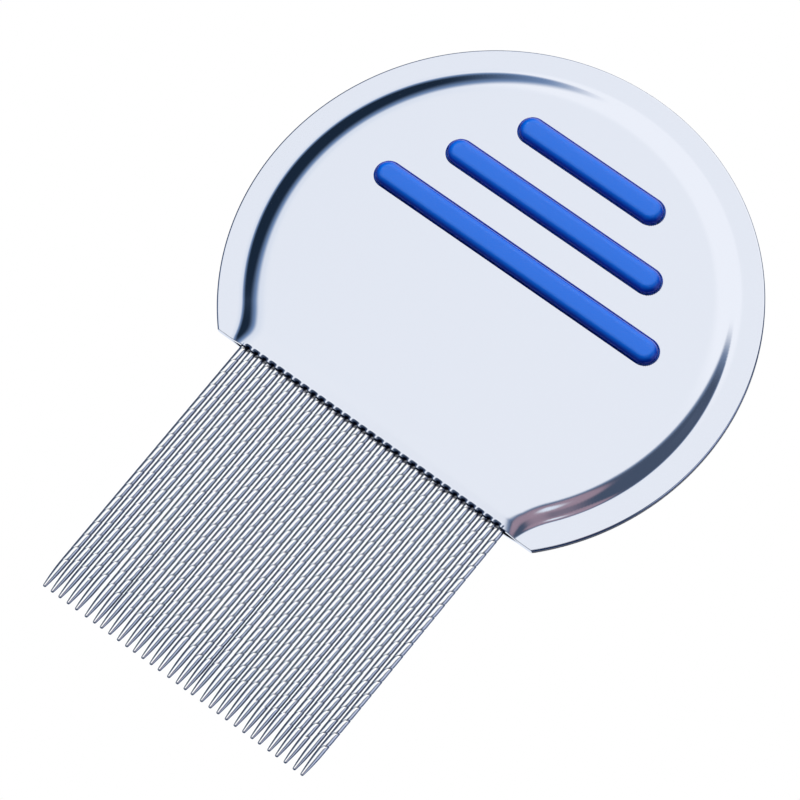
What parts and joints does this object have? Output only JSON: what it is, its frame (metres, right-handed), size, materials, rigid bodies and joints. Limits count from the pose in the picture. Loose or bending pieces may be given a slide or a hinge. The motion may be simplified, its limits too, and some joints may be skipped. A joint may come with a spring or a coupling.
{
  "type": "flea comb",
  "caption": "Round-handled steel flea comb: two pressed shells clamp a moulded grip insert and a row of close-set tapered wire teeth that lift fleas and nits from fur.",
  "frame": {"origin": "middle of the whole comb's box, on the plane where the two shells meet", "axes": "+X along the row of teeth, +Y from the tooth tips to the top of the handle, +Z out of the front face"},
  "size_m": [0.0676, 0.0964, 0.0054],
  "materials": {
    "polished_steel": "bright polished",
    "wire_steel": "drawn wire, bright",
    "blue_plastic": "glossy moulded"
  },
  "bodies": {
    "root": {"front_shell": "polished_steel", "back_shell": "polished_steel", "grip_insert": "blue_plastic", "tooth_01": "wire_steel", "tooth_02": "wire_steel", "tooth_03": "wire_steel", "tooth_04": "wire_steel", "tooth_05": "wire_steel", "tooth_06": "wire_steel", "tooth_07": "wire_steel", "tooth_08": "wire_steel", "tooth_09": "wire_steel", "tooth_10": "wire_steel", "tooth_11": "wire_steel", "tooth_12": "wire_steel", "tooth_13": "wire_steel", "tooth_14": "wire_steel", "tooth_15": "wire_steel", "tooth_16": "wire_steel", "tooth_17": "wire_steel", "tooth_18": "wire_steel", "tooth_19": "wire_steel", "tooth_20": "wire_steel", "tooth_21": "wire_steel", "tooth_22": "wire_steel", "tooth_23": "wire_steel", "tooth_24": "wire_steel", "tooth_25": "wire_steel", "tooth_26": "wire_steel", "tooth_27": "wire_steel", "tooth_28": "wire_steel", "tooth_29": "wire_steel", "tooth_30": "wire_steel", "tooth_31": "wire_steel", "tooth_32": "wire_steel"}
  },
  "joints": []
}
